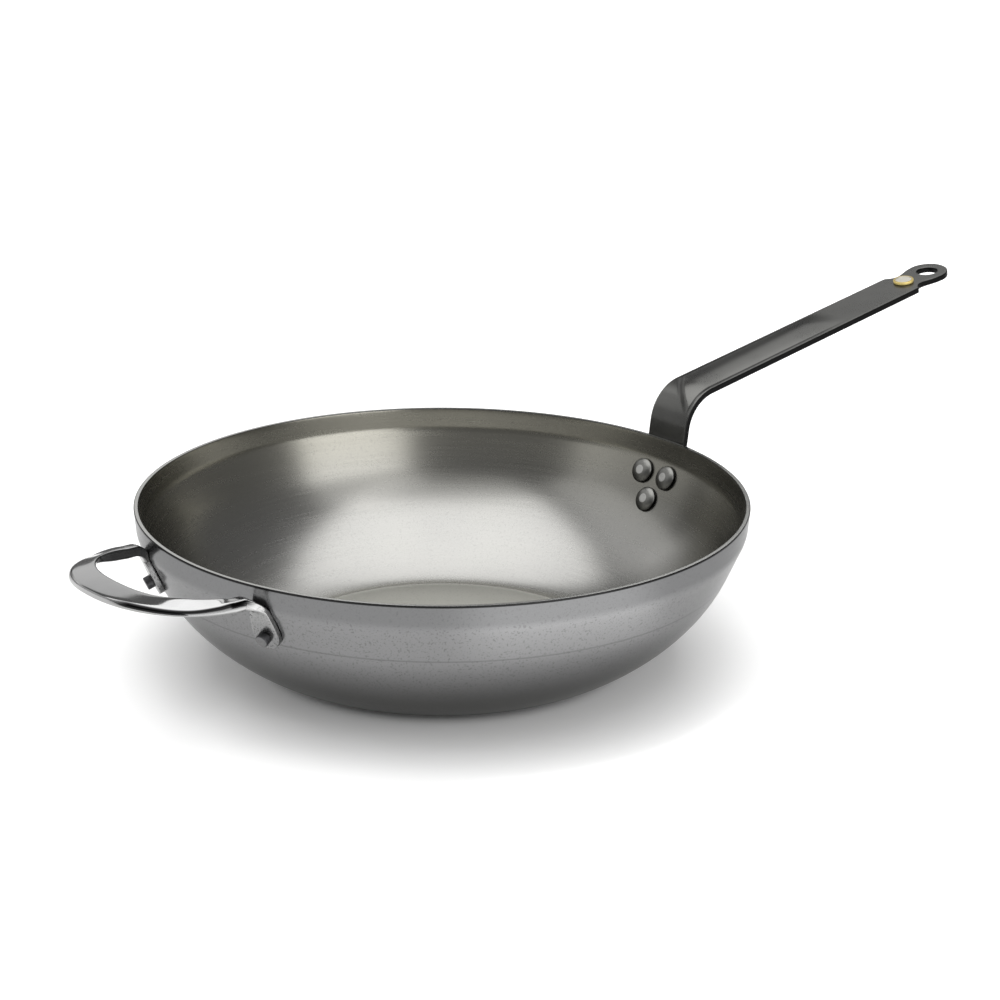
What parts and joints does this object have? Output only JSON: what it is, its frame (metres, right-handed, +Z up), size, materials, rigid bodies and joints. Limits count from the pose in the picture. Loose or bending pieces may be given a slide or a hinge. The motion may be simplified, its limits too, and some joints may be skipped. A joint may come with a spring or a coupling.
{
  "type": "deep frying pan",
  "caption": "Deep carbon steel frying pan with flared creased walls, a riveted strap handle with a hanging eye and medallion, and a riveted helper loop.",
  "frame": {"origin": "centre of the bowl's flat underside, on the plane the pan stands on", "axes": "+X along the strap handle, from the bowl's centre to the hanging eye; +Y across the pan; +Z up, out of the bowl's mouth"},
  "size_m": [0.6025, 0.32, 0.1506],
  "materials": {
    "bare_carbon_steel": "satin ground grey steel with a thin bright machined rim edge",
    "coated_strap_steel": "dark grey satin coating with softly worn edges",
    "polished_cast_steel": "polished cast steel, bright on top and satin on the pads",
    "rivet_steel": "dark satin domed heads with a small flat spot",
    "dark_rivet_tail": "dark blackened rivet ends",
    "medallion_brass": "satin brass ring round a plain pale recessed face"
  },
  "bodies": {
    "root": {"pan_body": "bare_carbon_steel", "long_handle": "coated_strap_steel", "helper_handle": "polished_cast_steel", "medallion": "medallion_brass", "handle_rivet_1": "rivet_steel", "handle_rivet_2": "rivet_steel", "handle_rivet_3": "rivet_steel", "helper_rivet_1": "dark_rivet_tail", "helper_rivet_2": "dark_rivet_tail"}
  },
  "joints": []
}
